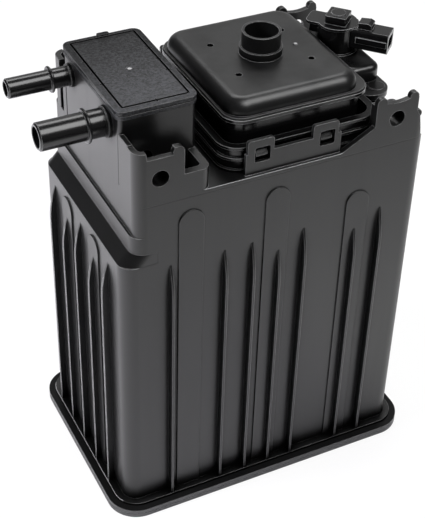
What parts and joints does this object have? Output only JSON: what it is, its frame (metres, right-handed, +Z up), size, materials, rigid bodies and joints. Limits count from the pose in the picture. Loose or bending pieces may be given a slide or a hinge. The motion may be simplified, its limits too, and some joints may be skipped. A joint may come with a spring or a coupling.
{
  "type": "charcoal canister",
  "caption": "Black moulded charcoal canister for fuel vapour: ribbed box with mounting ears, tower with two hose nipples, filtered fresh air module and a solenoid vent valve.",
  "frame": {"origin": "centre of the flange's underside", "axes": "+X along the wide front towards the vent valve, +Y to the back, +Z up; the hose nipples point to -X"},
  "size_m": [0.2102, 0.128, 0.2589],
  "materials": {
    "housing": "satin",
    "base_cover": "satin",
    "lid": "fine texture",
    "module": "satin",
    "cover": "satin",
    "valve": "satin",
    "filter": "matte",
    "seal": "matte",
    "iron": "plain",
    "spring_steel": "bright",
    "bobbin": "satin",
    "winding": "enamelled wire",
    "blade": "plated",
    "carbon": "granular",
    "pad": "felt",
    "plate": "satin"
  },
  "bodies": {
    "canister": {"housing": "housing", "bottom_cover": "base_cover", "tower_lid": "lid", "vent_tray": "module", "filter_box": "module", "vent_filter": "filter", "vent_cover": "cover", "valve_body": "valve", "deck_seal": "seal", "port_seal": "seal", "solenoid_shell": "valve", "shell_seal": "seal", "flux_tube": "iron", "coil_bobbin": "bobbin", "coil_winding": "winding", "pole_core": "iron", "return_spring": "spring_steel", "terminals": "blade", "carbon_bed_tank": "carbon", "carbon_bed_vent": "carbon", "upper_pads": "pad", "lower_pads": "pad", "pressure_plates": "plate", "plate_springs": "spring_steel"},
    "valve": {"plunger": "iron", "valve_disc": "seal"}
  },
  "joints": [
    {"name": "plunger_slide", "type": "slide", "parent": "canister", "child": "valve", "axis": [0, 0, -1], "range_m": [0, 0.0019], "stiffness_N_per_m": 200, "springref_m": -0.004, "deforming": ["return_spring"]}
  ]
}
